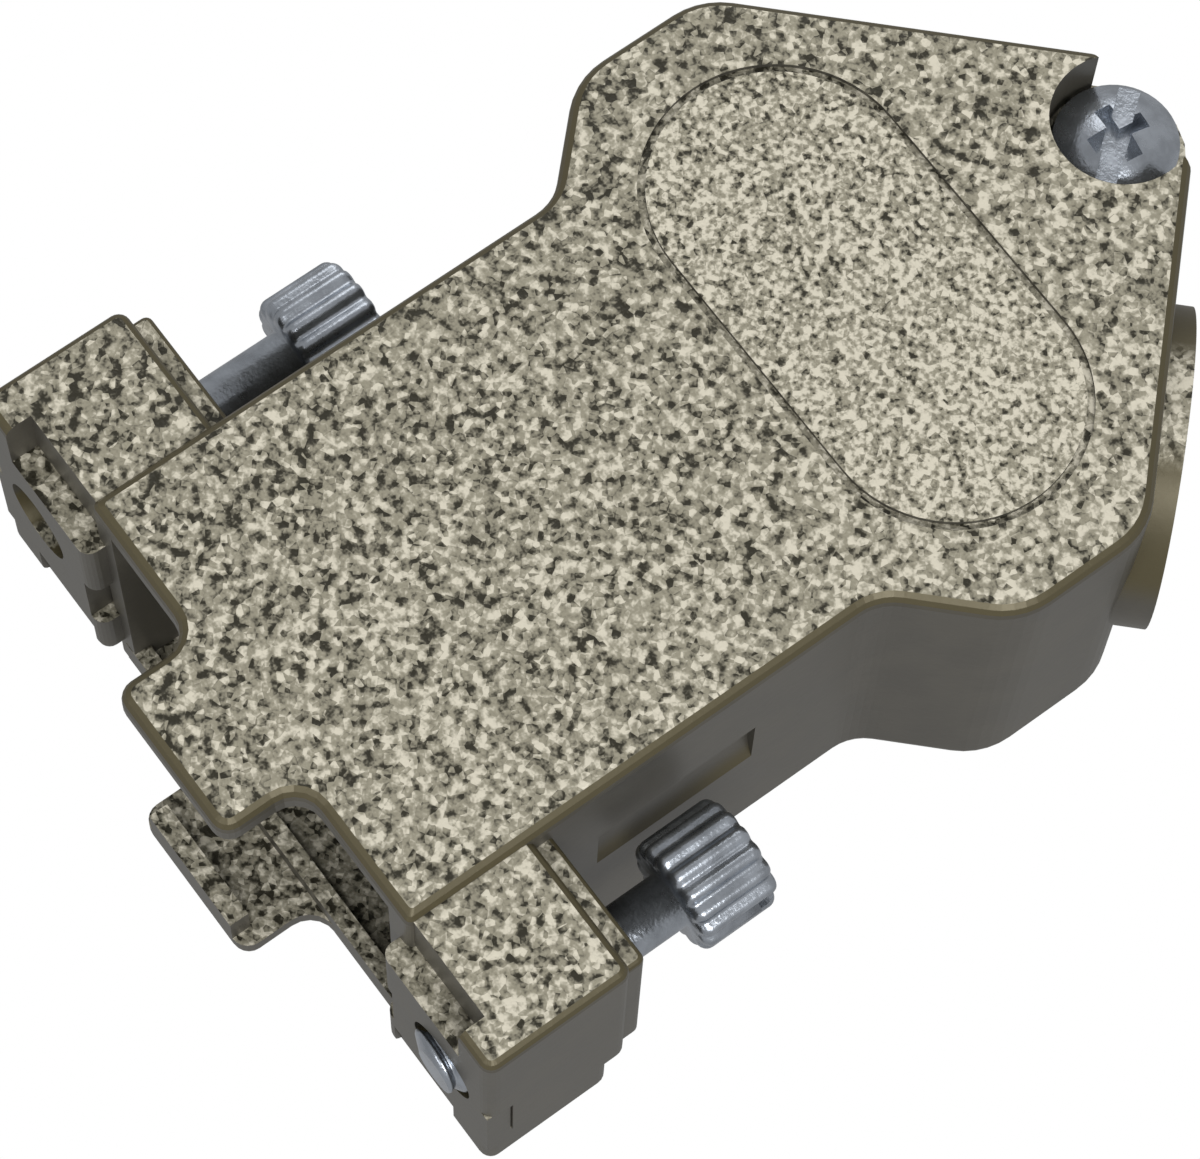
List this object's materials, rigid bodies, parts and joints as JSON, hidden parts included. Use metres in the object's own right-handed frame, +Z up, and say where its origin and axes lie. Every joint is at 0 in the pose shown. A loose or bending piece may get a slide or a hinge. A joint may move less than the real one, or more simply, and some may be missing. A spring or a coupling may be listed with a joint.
{
  "type": "d-sub hood",
  "caption": "Two-part cast metal hood for a small D-subminiature connector, with angled cable outlet, inner cable clamp and captive thumb screws.",
  "frame": {"origin": "on the underside of the hood, on its centre line, in the plane of the ear fronts", "axes": "+X to the right ear, +Y from the mating face to the rear, +Z up"},
  "size_m": [0.0306, 0.0445, 0.0146],
  "materials": {
    "cast_shell": "nickel-plated zinc die casting, coarse sparkling grain on the top, satin sides",
    "screw_steel": "bright zinc-plated steel",
    "clamp_steel": "plain plated steel"
  },
  "bodies": {
    "hood": {"upper_shell": "cast_shell", "lower_shell": "cast_shell", "housing_screw": "screw_steel", "housing_nut": "screw_steel", "clamp_saddle": "clamp_steel", "clamp_strap": "clamp_steel", "clamp_screw_left": "screw_steel", "clamp_screw_right": "screw_steel"},
    "left_slider": {"left_retaining_ring": "screw_steel"},
    "left_screw": {"left_jackscrew": "screw_steel"},
    "right_slider": {"right_retaining_ring": "screw_steel"},
    "right_screw": {"right_jackscrew": "screw_steel"}
  },
  "joints": [
    {"name": "left_screw_slide", "type": "slide", "parent": "hood", "child": "left_slider", "axis": [0, -1, 0], "range_m": [-0.0001, 0.0042]},
    {"name": "left_screw_spin", "type": "hinge", "parent": "left_slider", "child": "left_screw", "pos_m": [-0.01249, 0.008, 0.00815], "axis": [0, -1, 0], "continuous": true},
    {"name": "right_screw_slide", "type": "slide", "parent": "hood", "child": "right_slider", "axis": [0, -1, 0], "range_m": [-0.0014, 0.0029]},
    {"name": "right_screw_spin", "type": "hinge", "parent": "right_slider", "child": "right_screw", "pos_m": [0.01249, 0.008, 0.00815], "axis": [0, -1, 0], "continuous": true}
  ]
}
